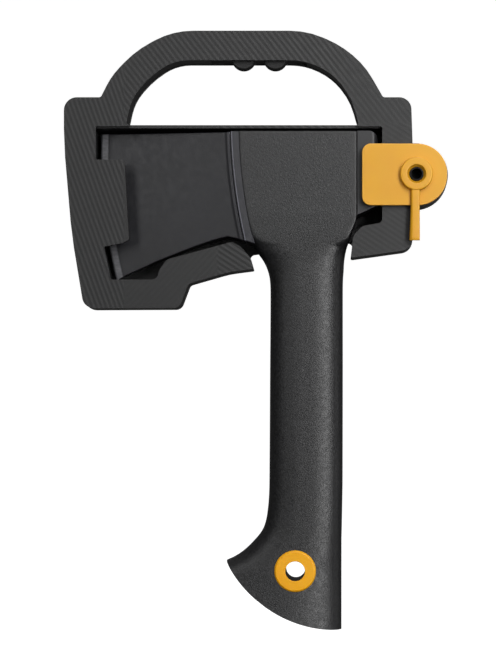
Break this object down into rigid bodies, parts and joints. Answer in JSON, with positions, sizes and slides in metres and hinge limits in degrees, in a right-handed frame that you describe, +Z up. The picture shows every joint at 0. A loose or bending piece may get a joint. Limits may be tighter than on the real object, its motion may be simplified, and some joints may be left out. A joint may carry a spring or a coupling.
{
  "type": "hatchet in carry sheath",
  "caption": "One-hand camping hatchet locked in a blade sheath that has its own carry handle, a swivelling latch with a hanging pull tab, and a lanyard eyelet in the butt.",
  "frame": {"origin": "the hook seat: middle of the underside of the carry bar, between the two finger bumps", "axes": "+Z up along the handle towards the carry bar, +X from the cutting edge to the poll, -Y out of the sheath's open front"},
  "size_m": [0.1768, 0.0355, 0.2758],
  "materials": {
    "forged_steel": "fine-grained dark anti-stick coating, satin, bright ground bevel at the edge",
    "grip_composite": "matte, fine-grained moulded fibre composite",
    "sheath_plastic": "matte moulded plastic with fine slanted ribs on the face",
    "shell_plastic": "matte moulded plastic, plain",
    "soft_grip": "matte soft rubber",
    "orange_plastic": "satin moulded plastic",
    "eyelet_plastic": "satin moulded plastic",
    "black_rivet": "satin black",
    "washer_steel": "plain washer"
  },
  "bodies": {
    "sheath": {"sheath_front": "sheath_plastic", "sheath_back": "shell_plastic", "hand_grip": "soft_grip", "latch_washer": "washer_steel", "latch_post": "black_rivet", "post_cap": "black_rivet"},
    "hatchet": {"axe_head": "forged_steel", "handle_shell": "grip_composite", "butt_cap": "grip_composite", "eyelet_front": "eyelet_plastic", "eyelet_back": "eyelet_plastic"},
    "latch": {"latch_plate": "orange_plastic"},
    "tab": {"pull_tab": "orange_plastic"}
  },
  "joints": [
    {"name": "latch_swivel", "type": "hinge", "parent": "sheath", "child": "latch", "pos_m": [0.072, -0.00825, -0.0527], "axis": [0, 1, 0], "range_deg": [0, 180]},
    {"name": "tab_swing", "type": "hinge", "parent": "sheath", "child": "tab", "pos_m": [0.072, -0.01125, -0.0527], "axis": [0, 1, 0], "continuous": true},
    {"name": "hatchet_play", "type": "hinge", "parent": "sheath", "child": "hatchet", "pos_m": [-0.0738, 0.00675, -0.066], "axis": [0, 0, -1], "range_deg": [0, 0.6]}
  ]
}
